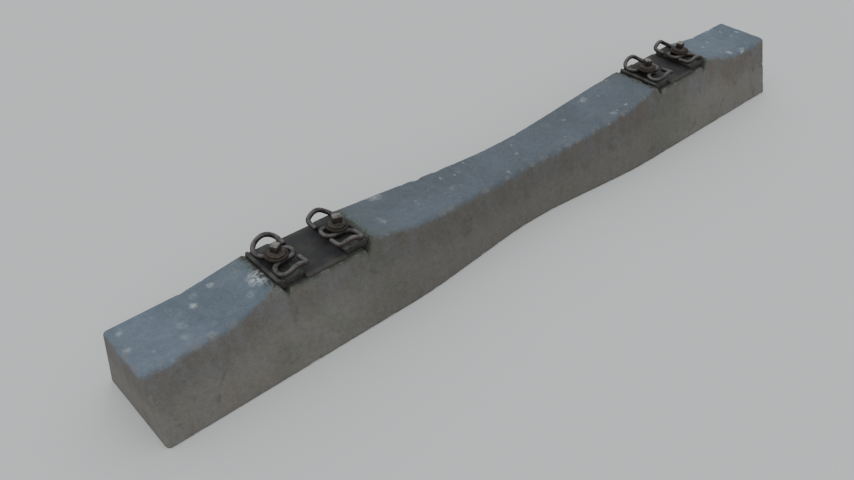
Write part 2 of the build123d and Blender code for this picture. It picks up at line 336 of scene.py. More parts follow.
# Pale marks that lichen has left on the left end: place along, place across, reach and strength.
LICHEN_MARKS = [
    (-1247, 57, 6, 0.45),
    (-1258, -4, 9, 0.35),
    (-1055, 54, 9, 0.25),
    (-1072, 27, 7, 0.8),
    (-1009, 55, 6, 1.0),
    (-1124, -13, 10, 0.35),
    (-1140, -52, 9, 0.2),
    (-1088, -86, 8, 0.25),
    (-917, -16, 20, 1.0),
    (-960, -49, 10, 0.3),
]
marks = np.zeros(len(body_points))
for x, y, reach, strength in LICHEN_MARKS:
    from_middle = np.linalg.norm(body_points[:, :2] - [x, y], axis=1)
    marks = np.maximum(marks, strength * np.clip(1.6 - from_middle / reach, 0, 1) * (below_top < 5))


def mesh_piece(name, points, faces, smooth=True):
    """A new mesh object from points in millimetres of the sleeper's frame."""
    mesh = bpy.data.meshes.new(name)
    mesh.from_pydata([tuple(p * MM) for p in points], [], faces)
    mesh.polygons.foreach_set("use_smooth", [smooth] * len(mesh.polygons))
    mesh.update()
    piece = bpy.data.objects.new(name, mesh)
    bpy.context.scene.collection.objects.link(piece)
    return piece


def note_on(piece, name, values):
    """Write one number for each point into a piece's mesh, for its material to read."""
    attribute = piece.data.attributes.new(name, "FLOAT", "POINT")
    attribute.data.foreach_set("value", values.astype(np.float32))


body = mesh_piece("concrete_body", body_points, body_faces)
note_on(body, "worn", worn)
note_on(body, "below_top", below_top)
note_on(body, "marked", marks)
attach(body, "root")
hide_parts("sleeper_body")


def colour(red, green, blue):
    """A screen colour from 0 to 255, as the renderer wants it."""
    def linear(value):
        value = value / 255
        return value / 12.92 if value <= 0.04045 else ((value + 0.055) / 1.055) ** 2.4
    return linear(red), linear(green), linear(blue), 1.0


def put(tree, kind, sockets=None, **settings):
    """Place a node: sockets by name or number, each a value or the output that feeds it."""
    node = tree.nodes.new(kind)
    for name, value in settings.items():
        setattr(node, name, value)
    for name, value in (sockets or {}).items():
        if isinstance(value, bpy.types.NodeSocket):
            tree.links.new(value, node.inputs[name])
        else:
            node.inputs[name].default_value = value
    return node


def maths(tree, operation, first, second=0.0, clamp=False):
    sockets = {0: first, 1: second}
    return put(tree, "ShaderNodeMath", sockets, operation=operation, use_clamp=clamp).outputs[0]


def plus(tree, first, second):
    return maths(tree, "ADD", first, second)


def minus(tree, first, second):
    return maths(tree, "SUBTRACT", first, second)


def times(tree, first, second):
    return maths(tree, "MULTIPLY", first, second)


def size_of(tree, value):
    return maths(tree, "ABSOLUTE", value)


def wander(tree, noise, reach):
    """A noise as a distance to either side of 0."""
    return times(tree, minus(tree, noise, 0.5), reach)


def between(tree, value, low, high):
    """0 below low, 1 above high and smooth between them."""
    sockets = {"Value": value, "From Min": low, "From Max": high}
    return put(tree, "ShaderNodeMapRange", sockets, interpolation_type="SMOOTHSTEP").outputs["Result"]


def ranged(tree, value, low, high, start=0.0, end=1.0):
    """From low to high, while the value goes from start to end."""
    sockets = {"Value": value, "From Min": start, "From Max": end, "To Min": low, "To Max": high}
    return put(tree, "ShaderNodeMapRange", sockets).outputs["Result"]


def mixed(tree, share, first, second, blend="MIX"):
    """Two colours mixed, with that share of the second."""
    sockets = {"Factor": share, 6: first, 7: second}
    return put(tree, "ShaderNodeMix", sockets, data_type="RGBA", blend_type=blend).outputs[2]


def coated(tree, base, coat, mask, most):
    """A colour with another laid over it where a mask says, never thicker than most."""
    return mixed(tree, times(tree, mask, most), base, coat)


def place_of(tree):
    return put(tree, "ShaderNodeTexCoord").outputs["Object"]


def axes_of(tree, vector):
    return put(tree, "ShaderNodeSeparateXYZ", {0: vector}).outputs


def noted(tree, name):
    """A number that the mesh holds for each of its points."""
    return put(tree, "ShaderNodeAttribute", attribute_name=name).outputs["Fac"]


def noise_at(tree, place, scale, detail=4.0, rough_share=0.55, distortion=0.0):
    sockets = {"Vector": place, "Scale": scale, "Detail": detail}
    sockets.update({"Roughness": rough_share, "Distortion": distortion})
    return put(tree, "ShaderNodeTexNoise", sockets).outputs["Fac"]


def facing_sky(tree, low, high):
    """From 0 to 1 as a surface turns: 1 faces the sky, 0 stands upright and -1 faces the ground."""
    normal = put(tree, "ShaderNodeNewGeometry").outputs["Normal"]
    return between(tree, axes_of(tree, normal)["Z"], low, high)


def effect(name, inputs, outputs):
    """A new node group with named inputs, given as (name, value), and named outputs."""
    group = bpy.data.node_groups.new(name, "ShaderNodeTree")
    for socket_name, value in inputs:
        kind = "NodeSocketVector" if value is None else "NodeSocketFloat"
        socket = group.interface.new_socket(socket_name, in_out="INPUT", socket_type=kind)
        if value is not None:
            socket.default_value = value
    for socket_name in outputs:
        group.interface.new_socket(socket_name, in_out="OUTPUT", socket_type="NodeSocketFloat")
    start = group.nodes.new("NodeGroupInput").outputs
    end = group.nodes.new("NodeGroupOutput").inputs
    return group, start, end


def use(tree, group, sockets):
    """The outputs of an effect, placed in a material with these inputs."""
    return put(tree, "ShaderNodeGroup", sockets, node_tree=group).outputs


def new_material(name):
    """A new material, with its node tree and its shader."""
    material = bpy.data.materials.new(name)
    material.use_nodes = True
    tree = material.node_tree
    return material, tree, tree.nodes["Principled BSDF"]


def finish_material(tree, shader, base, roughness, height, strength, distance):
    """Lead a colour, a roughness and a height to the shader, the height as a bump that deep."""
    tree.links.new(base, shader.inputs["Base Color"])
    tree.links.new(roughness, shader.inputs["Roughness"])
    bump = put(tree, "ShaderNodeBump", {"Height": height, "Strength": strength, "Distance": distance})
    tree.links.new(bump.outputs["Normal"], shader.inputs["Normal"])


# Spots: scattered patches with ragged edges, such as lichen, pits or drops of dirt.
spot_inputs = [("Place", None), ("Scale", 20.0), ("Share", 0.3), ("Ragged", 0.3), ("Soft", 0.12)]
spots, start, end = effect("Scattered spots", spot_inputs, ["Mask"])
swirl = put(spots, "ShaderNodeTexNoise", {"Vector": start["Place"], "Scale": 60.0, "Detail": 3.0})
offset = put(spots, "ShaderNodeVectorMath", {0: swirl.outputs["Color"], "Scale": 0.02}, operation="SCALE")
moved = put(spots, "ShaderNodeVectorMath", {0: start["Place"], 1: offset.outputs[0]}, operation="ADD")
cells = put(spots, "ShaderNodeTexVoronoi", {"Vector": moved.outputs[0], "Scale": start["Scale"]})
picked = put(spots, "ShaderNodeSeparateColor", {"Color": cells.outputs["Color"]})
size = times(spots, maths(spots, "SUBTRACT", start["Share"], picked.outputs["Red"], True), 1.2)
ragged = wander(spots, noise_at(spots, start["Place"], 220.0), start["Ragged"])
reach = plus(spots, size, times(spots, ragged, size))
inside = minus(spots, reach, cells.outputs["Distance"])
spots.links.new(between(spots, inside, 0.0, start["Soft"]), end["Mask"])

# Facing up: how much a surface lies open to rain and dust.
facing, start, end = effect("Facing up", [("Low", 0.3), ("High", 0.8)], ["Mask"])
facing.links.new(facing_sky(facing, start["Low"], start["High"]), end["Mask"])

# Grain: fine and coarse unevenness of one surface.
grain_inputs = [("Place", None), ("Fine", 900.0), ("Coarse", 60.0)]
grain, start, end = effect("Grain", grain_inputs, ["Fine", "Coarse"])
grain.links.new(noise_at(grain, start["Place"], start["Fine"], 3.0, 0.6), end["Fine"])
grain.links.new(noise_at(grain, start["Place"], start["Coarse"], 6.0, 0.6), end["Coarse"])

CLEAN_TOP = colour(112, 124, 137)
PALE_TOP = colour(127, 140, 152)
DARK_TOP = colour(99, 110, 121)
LICHEN = colour(186, 193, 195)
SIDE_GREY = colour(105, 105, 103)
SIDE_BROWN = colour(101, 96, 90)
SIDE_RUST = colour(106, 91, 82)
MOSS = colour(80, 88, 74)
BROKEN = colour(134, 132, 127)
DIRT = colour(58, 53, 47)
BURIED = colour(119, 115, 108)
IRON_DUST = colour(74, 71, 67)

# Where a coat starts and where it is full, in millimetres. The marks and the film are placed
# from the sleeper's middle, the stains, the moss, the fringe and the dirt from a seat's centre.
MARKS_FROM, MARKS_FULL = -860.0, -900.0
FILM_FROM, FILM_FULL = 780.0, 580.0
STAIN_FROM, STAIN_FULL = 290.0, 160.0
MOSS_FROM, MOSS_FULL = 260.0, 150.0
FRINGE_FROM, FRINGE_FULL = 167.0, 147.0
DIRT_FROM, DIRT_FULL = 160.0, 142.0
EDGE_FROM, EDGE_FULL = 45.0, 95.0

concrete, tree, shader = new_material("weathered_concrete")
place = place_of(tree)
axes = axes_of(tree, place)
along = size_of(tree, axes["X"])
from_seat = size_of(tree, minus(tree, along, SEAT_OUT * MM))
parts = use(tree, grain, {"Place": place, "Fine": 950.0, "Coarse": 70.0})
clouds = noise_at(tree, place, 4.5, 5.0, 0.6)
patches = noise_at(tree, place, 24.0, 6.0, 0.62, 0.4)
crumbs = noise_at(tree, place, 110.0, 4.0, 0.65)

# The top: clouds of two greys, paler and darker patches, and spots of lichen. On the left end
# the spots are the marks that the mesh holds, and the scattered ones are faint.
top = mixed(tree, between(tree, clouds, 0.36, 0.66), DARK_TOP, CLEAN_TOP)
top = coated(tree, top, PALE_TOP, between(tree, patches, 0.48, 0.75), 0.45)
top = coated(tree, top, DARK_TOP, between(tree, patches, 0.48, 0.25), 0.3)
large = {"Place": place, "Scale": 15.0, "Share": 0.41, "Ragged": 0.7, "Soft": 0.2}
small = {"Place": place, "Scale": 44.0, "Share": 0.34, "Ragged": 2.2, "Soft": 0.14}
lichen = use(tree, spots, large)["Mask"]
specks = use(tree, spots, small)["Mask"]
thin = ranged(tree, noise_at(tree, place, 85.0), 0.0, 0.85, 0.35, 0.65)
on_marks = between(tree, axes["X"], MARKS_FROM * MM, MARKS_FULL * MM)
elsewhere = times(tree, thin, minus(tree, 1.0, times(tree, on_marks, 0.75)))
frayed = minus(tree, 1.0, times(tree, between(tree, crumbs, 0.54, 0.43), 0.8))
for mask, share in ((lichen, elsewhere), (specks, elsewhere), (noted(tree, "marked"), frayed)):
    top = coated(tree, top, LICHEN, mask, share)

# The sides: brown with blown dust, in faint streaks, and paler where they lay buried.
streaks = put(tree, "ShaderNodeVectorMath", {0: place, 1: (24.0, 24.0, 5.0)}, operation="MULTIPLY")
streak = noise_at(tree, streaks.outputs[0], 1.0, 5.0, 0.6)
side = mixed(tree, between(tree, streak, 0.35, 0.65), SIDE_BROWN, SIDE_GREY)
side = coated(tree, side, SIDE_RUST, between(tree, noise_at(tree, place, 9.0, 5.0), 0.5, 0.7), 0.45)
near_edge = between(tree, size_of(tree, axes["Y"]), EDGE_FROM * MM, EDGE_FULL * MM)
stained = times(tree, between(tree, from_seat, STAIN_FROM * MM, STAIN_FULL * MM), near_edge)
below = plus(tree, noted(tree, "below_top"), wander(tree, patches, 40.0))
below = plus(tree, below, times(tree, stained, 13.0))
side = coated(tree, side, BURIED, between(tree, below, 60.0, 130.0), 0.7)
side = coated(tree, side, DIRT, between(tree, patches, 0.45, 0.28), 0.35)
base = mixed(tree, between(tree, below, 2.0, 20.0), top, side)

# Between the seats: a brown film of fine iron dust darkens the whole middle of the sleeper.
film_place = plus(tree, along, wander(tree, clouds, 0.3))
base = coated(tree, base, IRON_DUST, between(tree, film_place, FILM_FROM * MM, FILM_FULL * MM), 0.32)

# Round the seats: dark dirt in the troughs, a mossy fringe on the noses and a green haze.
to_nose = plus(tree, from_seat, wander(tree, crumbs, 0.09))
fringe = between(tree, to_nose, FRINGE_FROM * MM, FRINGE_FULL * MM)
base = coated(tree, base, MOSS, times(tree, fringe, between(tree, below, 40.0, 10.0)), 0.65)
in_seat = between(tree, to_nose, DIRT_FROM * MM, DIRT_FULL * MM)
base = coated(tree, base, DIRT, times(tree, in_seat, between(tree, below, 26.0, 4.0)), 0.85)
haze = between(tree, from_seat, MOSS_FROM * MM, MOSS_FULL * MM)
base = coated(tree, base, MOSS, times(tree, haze, between(tree, clouds, 0.46, 0.6)), 0.35)

# All over: pale broken faces, small dark pits, a mottled tint and grains of sand.
base = coated(tree, base, BROKEN, noted(tree, "worn"), 0.35)
pits = use(tree, spots, {"Place": place, "Scale": 130.0, "Share": 0.16, "Ragged": 0.3})["Mask"]
base = coated(tree, base, DIRT, pits, 0.35)
mottled = times(tree, plus(tree, parts["Fine"], parts["Coarse"]), 0.5)
tint = ranged(tree, mottled, 0.84, 1.14, 0.35, 0.65)
tint = put(tree, "ShaderNodeCombineColor", {0: tint, 1: tint, 2: tint}).outputs[0]
base = mixed(tree, 1.0, base, tint, "MULTIPLY")
sand = noise_at(tree, place, 420.0, 3.0, 0.7)
base = coated(tree, base, LICHEN, between(tree, sand, 0.52, 0.72), 0.16)
base = coated(tree, base, DIRT, between(tree, sand, 0.46, 0.28), 0.3)
height = plus(tree, times(tree, parts["Fine"], 0.35), times(tree, parts["Coarse"], 0.5))
height = minus(tree, height, times(tree, pits, 1.2))
finish_material(tree, shader, base, ranged(tree, patches, 0.72, 0.92), height, 0.6, 0.0012)
shader.inputs["Specular IOR Level"].default_value = 0.35
body.data.materials.append(concrete)

# Dowels. Four black plastic sleeves cast into the concrete, each with a rim at its mouth.
# The screws thread into them. They lie under the guide plates and stay as the CAD has them.

SCREW_OUT = 93.5
SPOTS = [(side, edge) for side in ("left", "right") for edge in ("outer", "inner")]
# Round each screw the plates turn near black: partly grime, partly painted shade from the clamp and washer
# above.
SHADE_AND_GRIME = colour(31, 28, 26)
SHADE_AND_GRIME_FROM, SHADE_AND_GRIME_FULL = 72.0, 30.0


def screw_frame(side, edge):
    """The frame of a screw in millimetres: X from the pad to the shoulder, Z along the screw."""
    seat = Matrix.Translation((SEAT_OUT, 0, SEAT_UP)) @ Matrix.Rotation(-SEAT_LEAN, 4, "Y")
    turn = Matrix.Rotation(math.pi, 4, "Z")
    whole = turn if side == "left" else Matrix.Identity(4)
    inner = turn if edge == "inner" else Matrix.Identity(4)
    return np.array(whole @ seat @ inner @ Matrix.Translation((SCREW_OUT, 0, 0)))


def placed(points, place):
    """Points of a screw's or a seat's frame, in the sleeper's frame."""
    return points @ place[:3, :3].T + place[:3, 3]


def plastic(name, fresh, dusty, dust_share, grain_scale, shade_and_grime_share=0.0):
    """Moulded plastic with a fine skin, scuffs, dust on what faces up, and a near-black patch round the
    screw that is partly grime and partly painted shade.
    """
    material, tree, shader = new_material(name)
    place = place_of(tree)
    axes = axes_of(tree, place)
    parts = use(tree, grain, {"Place": place, "Fine": grain_scale, "Coarse": 90.0})
    settled = between(tree, noise_at(tree, place, 38.0, 6.0, 0.65), 0.3, 0.65)
    up = use(tree, facing, {"Low": 0.2, "High": 0.9})["Mask"]
    dust = times(tree, times(tree, up, settled), dust_share)
    base = coated(tree, fresh, dusty, between(tree, parts["Coarse"], 0.35, 0.7), 0.3)
    base = mixed(tree, dust, base, dusty)
    from_seat = size_of(tree, minus(tree, size_of(tree, axes["X"]), SEAT_OUT * MM))
    across = size_of(tree, minus(tree, from_seat, SCREW_OUT * MM))
    squares = [maths(tree, "POWER", way, 2.0) for way in (across, size_of(tree, axes["Y"]))]
    from_screw = maths(tree, "SQRT", plus(tree, *squares))
    from_screw = plus(tree, from_screw, wander(tree, settled, 0.02))
    # Painted shade and grime: the plate darkens towards the screw, under the clamp and washer.
    shade_and_grime = between(tree, from_screw, SHADE_AND_GRIME_FROM * MM, SHADE_AND_GRIME_FULL * MM)
    base = coated(tree, base, SHADE_AND_GRIME, shade_and_grime, shade_and_grime_share)
    dullness = plus(tree, times(tree, dust, 0.35), plus(tree, times(tree, parts["Coarse"], 0.2), 0.5))
    height = plus(tree, parts["Fine"], times(tree, dust, 0.8))
    finish_material(tree, shader, base, ranged(tree, dullness, 0.45, 0.95), height, 0.35, 0.0004)
    return material


dowel_plastic = plastic(
    "dowel_plastic",
    fresh=colour(38, 38, 40),
    dusty=colour(96, 92, 86),
    dust_share=0.4,
    grain_scale=1500.0,
)
for side, edge in SPOTS:
    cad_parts[f"dowel_{side}_{edge}"].data.materials[0] = dowel_plastic

# Seat pads. Two flat rubber sheets, one on each seat, cut from moulded sheet with their
# corners rounded. The load on them has pressed them smooth, and dust lies along their ends.

PAD_HALF_X, PAD_HALF_Y, PAD_TOP = 62.5, 85.0, 7.0
PAD_CORNER, PAD_EDGE = 4.0, 0.8
RIM_FROM, RIM_FULL = 78.0, 92.0
CORNER_SIGNS = ((1, 1), (-1, 1), (-1, -1), (1, -1))


def rounded_rectangle(half_x, half_y, radius, steps=6):
    """The outline of a rectangle with rounded corners, counterclockwise from the right."""
    points = []
    for index, (sign_x, sign_y) in enumerate(CORNER_SIGNS):
        for step in range(steps + 1):
            angle = math.pi / 2 * (index + step / steps)
            x = sign_x * (half_x - radius) + radius * math.cos(angle)
            y = sign_y * (half_y - radius) + radius * math.sin(angle)
            points.append((x, y))
    return np.array(points)


def capped_faces(rows, around):
    """The faces of a closed form made of rows of points, with a flat face at each end."""
    first = tuple(reversed(range(around)))
    last = tuple(range((rows - 1) * around, rows * around))
    return [first] + ring_faces(rows, around) + [last]


def stacked(outlines, heights):
    """The points and faces of a closed form from outlines of one length, one above the other."""
    count = len(outlines[0])
    points = np.vstack([np.column_stack([line, np.full(count, z)]) for line, z in zip(outlines, heights)])
    return points, capped_faces(len(outlines), count)


def seat_frame(side):
    """The frame of a seat in millimetres: X along the sleeper, Z square to the seat."""
    return screw_frame(side, "outer") @ np.array(Matrix.Translation((-SCREW_OUT, 0, 0)))


pad_rubber, tree, shader = new_material("pad_rubber")
place = place_of(tree)
parts = use(tree, grain, {"Place": place, "Fine": 1300.0, "Coarse": 110.0})
settled = noise_at(tree, place, 30.0, 6.0, 0.65)
to_end = plus(tree, size_of(tree, axes_of(tree, place)["Y"]), times(tree, settled, 0.02))
scuffed = between(tree, settled, 0.42, 0.68)
base = coated(tree, colour(42, 42, 44), colour(84, 79, 72), scuffed, 0.4)
base = coated(tree, base, colour(96, 90, 82), between(tree, to_end, RIM_FROM * MM, RIM_FULL * MM), 0.3)
finish_material(tree, shader, base, ranged(tree, settled, 0.55, 0.9), parts["Fine"], 0.3, 0.0004)

pad_layers = [(0.0, PAD_EDGE), (PAD_EDGE, 0.0), (PAD_TOP - PAD_EDGE, 0.0), (PAD_TOP, PAD_EDGE)]
heights = [height for height, inset in pad_layers]
outlines = []
for height, inset in pad_layers:
    outlines.append(rounded_rectangle(PAD_HALF_X - inset, PAD_HALF_Y - inset, PAD_CORNER - inset))
for side in ("left", "right"):
    points, faces = stacked(outlines, heights)
    pad = mesh_piece(f"rubber_pad_{side}", placed(points, seat_frame(side)), faces, smooth=False)
    pad.data.materials.append(pad_rubber)
    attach(pad, "root")
    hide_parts(f"seat_pad_{side}")

# Guide plates. Four moulded plates of dark glass-filled plastic, pushed in between a seat and
# its concrete shoulder. The clamp's loops lie in their round groove. Dust greys their tops.

PLATE_BEVEL, BEVEL_STEPS = 1.2, 3
FLAT_ANGLE, SHARP_ANGLE = math.radians(2), math.radians(25)
WELD = 1e-6


def softened(name, node):
    """A copy of a CAD node's mesh with its flat faces made whole and its sharp edges rounded."""
    mesh = bpy.data.meshes.new(name)
    shape = bmesh.new()
    shape.from_mesh(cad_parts[node].data)
    bmesh.ops.remove_doubles(shape, verts=shape.verts, dist=WELD)
    bmesh.ops.dissolve_limit(shape, angle_limit=FLAT_ANGLE, verts=shape.verts, edges=shape.edges)
    sharp = [e for e in shape.edges if len(e.link_faces) == 2 and e.calc_face_angle(0) > SHARP_ANGLE]
    rounding = {"offset": PLATE_BEVEL * MM, "segments": BEVEL_STEPS, "profile": 0.5}
    bmesh.ops.bevel(shape, geom=sharp, affect="EDGES", clamp_overlap=True, **rounding)
    for face in shape.faces:
        face.smooth = True
    shape.to_mesh(mesh)
    shape.free()
    piece = bpy.data.objects.new(name, mesh)
    bpy.context.scene.collection.objects.link(piece)
    return piece


plate_plastic = plastic(
    "plate_plastic",
    fresh=colour(40, 37, 34),
    dusty=colour(92, 96, 91),
    dust_share=0.75,
    grain_scale=1400.0,
    shade_and_grime_share=0.8,
)
for side, edge in SPOTS:
    node = f"guide_plate_{side}_{edge}"
    plate = softened(f"moulded_plate_{side}_{edge}", node)
    plate.data.materials.append(plate_plastic)
    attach(plate, "root")
    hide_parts(node)

# Tension clamps. Four W-shaped springs, each bent hot from one round steel bar: a bow under
# the screw, two loops in the plate's groove, two arms and two toes. Rust covers all of them.

BAR, BAR_UP = 7.0, 26.3
BAR_AROUND, BAR_STEP, BAR_SKIN = 24, 2.0, 0.05
BAR_ENDS = (0.86, 0.95)
BOW_HALF, BOW_BACK, BOW_RISE, BOW_RADIUS = 19.5, 46.0, 5.0, 19.0
LOOP_OUT, LOOP_HALF, LOOP_RADIUS = 31.0, 77.5, 28.5
ARM_BACK, ARM_SPLAY, ARM_RISE, ARM_RADIUS = 12.0, 2.0, 28.0, 34.0
TOE_BACK, TOE_SETBACK, TOE_RADIUS = 44.0, 5.0, 16.0
TOE_CORNER_UP, TOE_TIP, TOE_TIP_UP = 34.5, 32.0, 31.0
clamp_half = [
    (-BOW_BACK, BOW_HALF, BAR_UP + BOW_RISE),
    (LOOP_OUT, BOW_HALF, BAR_UP),
    (LOOP_OUT, LOOP_HALF, BAR_UP),
    (-ARM_BACK, LOOP_HALF + ARM_SPLAY, BAR_UP + ARM_RISE),
    (-TOE_BACK, LOOP_HALF - TOE_SETBACK, TOE_CORNER_UP),
    (-TOE_BACK, TOE_TIP, TOE_TIP_UP),
]
half_radii = [BOW_RADIUS, LOOP_RADIUS, LOOP_RADIUS, ARM_RADIUS, TOE_RADIUS]
half_steps = [16, 20, 20, 12, 12]
clamp_corners = [(x, -y, z) for x, y, z in reversed(clamp_half)] + clamp_half
clamp_line = bent_line(clamp_corners, half_radii[::-1] + half_radii, half_steps[::-1] + half_steps)


def circle(around):
    """The points of a circle of radius 1."""
    angles = np.linspace(0, math.tau, around, endpoint=False)
    return np.column_stack([np.cos(angles), np.sin(angles)])


def evenly(line, step):
    """The same line with its points that far apart."""
    along = np.concatenate([[0], np.cumsum(np.linalg.norm(np.diff(line, axis=0), axis=1))])
    places = np.linspace(0, along[-1], max(2, round(along[-1] / step)) + 1)
    return np.column_stack([np.interp(places, along, line[:, k]) for k in range(3)])


def bar_along(line, radii, around):
    """The points and faces of a round bar along a line, with the radius given at each point."""
    ahead = np.gradient(line, axis=0)
    ahead /= np.linalg.norm(ahead, axis=1)[:, None]
    up = unit(np.cross(ahead[0], [0.3, 0.5, 1.0]))
    points = []
    for place, direction, radius in zip(line, ahead, radii):
        up = unit(up - direction * (up @ direction))
        points.append(place + radius * circle(around) @ [up, np.cross(direction, up)])
    return np.vstack(points), capped_faces(len(line), around)


def pitted(points, centres, depth, size, seed):
    """Points moved a little towards some inner points, as rust eats into a surface."""
    inward = centres - points
    inward /= np.linalg.norm(inward, axis=1)[:, None]
    eaten = (1 + rough(points, size, seed)) / 2 + (1 + rough(points, size * 3.1, seed + 1)) / 2
    return points + inward * depth * eaten[:, None]


# Rust: a crust in patches over darker steel. Undersides are darkened as painted shade, and what faces up
# gets pale dust, laid on thick as a painted highlight.
rust_inputs = [("Place", None), ("Patch", 45.0), ("Pit", 420.0), ("Dust_and_highlight_share", 0.6)]
rust, start, end = effect("Rust", rust_inputs, ["Bright", "Dark", "Dust_and_highlight", "Height"])
wide = noise_at(rust, start["Place"], start["Patch"], 7.0, 0.65, 0.3)
fine = noise_at(rust, start["Place"], start["Pit"], 8.0, 0.7)
both = plus(rust, times(rust, wide, 0.65), times(rust, fine, 0.35))
# Painted shade: surfaces that face the ground are darkened.
painted_underside_shade = times(rust, facing_sky(rust, 0.3, -0.4), 0.75)
# Pale dust on what faces up, partly a painted highlight.
dusty = times(rust, times(rust, facing_sky(rust, 0.25, 0.95), start["Dust_and_highlight_share"]), between(rust, both, 0.3, 0.6))
rust.links.new(between(rust, both, 0.5, 0.66), end["Bright"])
rust.links.new(maths(rust, "MAXIMUM", between(rust, both, 0.48, 0.36), painted_underside_shade), end["Dark"])
rust.links.new(dusty, end["Dust_and_highlight"])
rust.links.new(plus(rust, times(rust, fine, 0.7), times(rust, wide, 0.6)), end["Height"])


def rusty_steel(name, plain, bright, dark, dust, dust_share, patch):
    """Rusty steel, with more pale dust and painted highlight on the tops that the mesh notes."""
    material, tree, shader = new_material(name)
    share = maths(tree, "ADD", noted(tree, "top_dust_and_highlight"), dust_share, True)
    masks = use(tree, rust, {"Place": place_of(tree), "Patch": patch, "Pit": 420.0, "Dust_and_highlight_share": share})
    base = plain
    for mask, coat in (("Bright", bright), ("Dark", dark), ("Dust_and_highlight", dust)):
        base = mixed(tree, masks[mask], base, coat)
    roughness = ranged(tree, masks["Height"], 0.58, 0.9)
    finish_material(tree, shader, base, roughness, masks["Height"], 0.7, 0.0006)
    tree.links.new(ranged(tree, masks["Dark"], 0.1, 0.45), shader.inputs["Metallic"])
    return material


# The clamps' pale tops are partly dust and partly painted highlight. Their dark undersides are painted
# shade.
clamp_steel = rusty_steel(
    "clamp_steel",
    plain=colour(52, 46, 43),
    bright=colour(79, 61, 50),
    dark=colour(31, 28, 27),
    dust=colour(122, 119, 118),
    dust_share=0.8,
    patch=45.0,
)
line = evenly(clamp_line, BAR_STEP)
radii = np.full(len(line), BAR - BAR_SKIN)
for k, share in enumerate(BAR_ENDS):
    radii[k] = radii[-1 - k] = BAR * share
bar_points, faces = bar_along(line, radii, BAR_AROUND)
for number, (side, edge) in enumerate(SPOTS):
    points = pitted(bar_points, np.repeat(line, BAR_AROUND, axis=0), 0.16, 5.0, 50 + number * 3)
    clamp = mesh_piece(f"spring_clamp_{side}_{edge}", placed(points, screw_frame(side, edge)), faces)
    clamp.data.materials.append(clamp_steel)
    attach(clamp, "root")
    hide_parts(f"tension_clamp_{side}_{edge}")

# Washers. Four flat steel rings, pressed out of plate, that spread the screw's load over the
# two middle legs of a clamp. Their edges are dulled with rust.

WASHER_UP, WASHER_THICK = 37.64, 6.0
WASHER_RIM, WASHER_HOLE = 31.0, 13.0
WASHER_AROUND = 96


def turned(profile, around):
    """The points and faces of a closed outline of (radius, height) points turned round the axis."""
    points = [np.column_stack([circle(around) * radius, np.full(around, z)]) for radius, z in profile]
    return np.vstack(points), ring_faces(len(profile), around, closed=True)


washer_steel = rusty_steel(
    "washer_steel",
    plain=colour(43, 37, 32),
    bright=colour(71, 54, 42),
    dark=colour(28, 25, 22),
    dust=colour(86, 76, 67),
    dust_share=0.2,
    patch=60.0,
)
bottom, top = WASHER_UP, WASHER_UP + WASHER_THICK
seam = (WASHER_HOLE + 4, bottom)
washer_corners = [seam, (WASHER_RIM, bottom), (WASHER_RIM, top)]
washer_corners += [(WASHER_HOLE, top), (WASHER_HOLE, bottom), seam]
washer_profile = bent_line(washer_corners, [0.8, 1.6, 0.6, 0.6], [3, 4, 3, 3])[:-1]
ring_points, faces = turned(washer_profile, WASHER_AROUND)
middle = (WASHER_RIM + WASHER_HOLE) / 2 / WASHER_RIM
centres = ring_points * [middle, middle, 0] + [0, 0, (bottom + top) / 2]
for number, (side, edge) in enumerate(SPOTS):
    points = pitted(ring_points, centres, 0.12, 6.0, 90 + number * 3)
    washer = mesh_piece(f"flat_washer_{side}_{edge}", placed(points, screw_frame(side, edge)), faces)
    washer.data.materials.append(washer_steel)
    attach(washer, "root")
    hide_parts(f"washer_{side}_{edge}")

# Sleeper screws. Four forged steel screws with a round collar and an oblong head that a
# key turns. Rust softens them, and the head tops are the palest part: dust with a painted highlight.

SCREW_AROUND = 64
SHANK, SHANK_TIP, SHANK_END = 12.0, 8.0, -136.0
COLLAR, COLLAR_UP = 24.0, WASHER_UP + WASHER_THICK
HEAD_LONG, HEAD_WIDE, HEAD_POWER = 27.0, 23.0, 7.0
HEAD_REACH, HEAD_FOOT, HEAD_NECK, HEAD_TAPER = 14.0, 12.0, 12.3, 0.055 / 16
TOP_DUST_AND_HIGHLIGHT_FROM, TOP_DUST_AND_HIGHLIGHT_FULL, TOP_DUST_AND_HIGHLIGHT_MOST = 20.0, 26.0, 0.7
SCREW_TURNS = {
    ("left", "outer"): 30,
    ("left", "inner"): -18,
    ("right", "inner"): 64,
    ("right", "outer"): 12,
}

# The collar from the shank up, as radius and height over the washer
collar_corners = [(SHANK, 0), (COLLAR, 0), (COLLAR, 3.4), (16, 7.4), (12.4, 9.0)]
collar_corners = [(radius, COLLAR_UP + z) for radius, z in collar_corners]
collar_line = bent_line(collar_corners, [0.8, 2.2, 6.0], [3, 5, 4])

# The head from the collar up: its reach, its height over the washer, and how oblong it is
head_rows = [
    (12.9, 9.4, 0.2),
    (14.0, 12.0, 1.0),
    (14.0, 20.0, 1.0),
    (13.8, 25.0, 1.0),
    (13.0, 26.8, 1.0),
    (11.8, 27.6, 1.0),
    (9.5, 27.9, 1.0),
    (5.0, 28.0, 1.0),
    (0.6, 28.0, 1.0),
]


def head_outline(size):
    """The oblong of a forged head with full corners, at that share of its size."""
    corners = circle(SCREW_AROUND)
    fullness = (np.abs(corners) ** HEAD_POWER).sum(axis=1) ** (-1 / HEAD_POWER)
    return corners * [HEAD_LONG / 2 * size, HEAD_WIDE / 2 * size] * fullness[:, None]


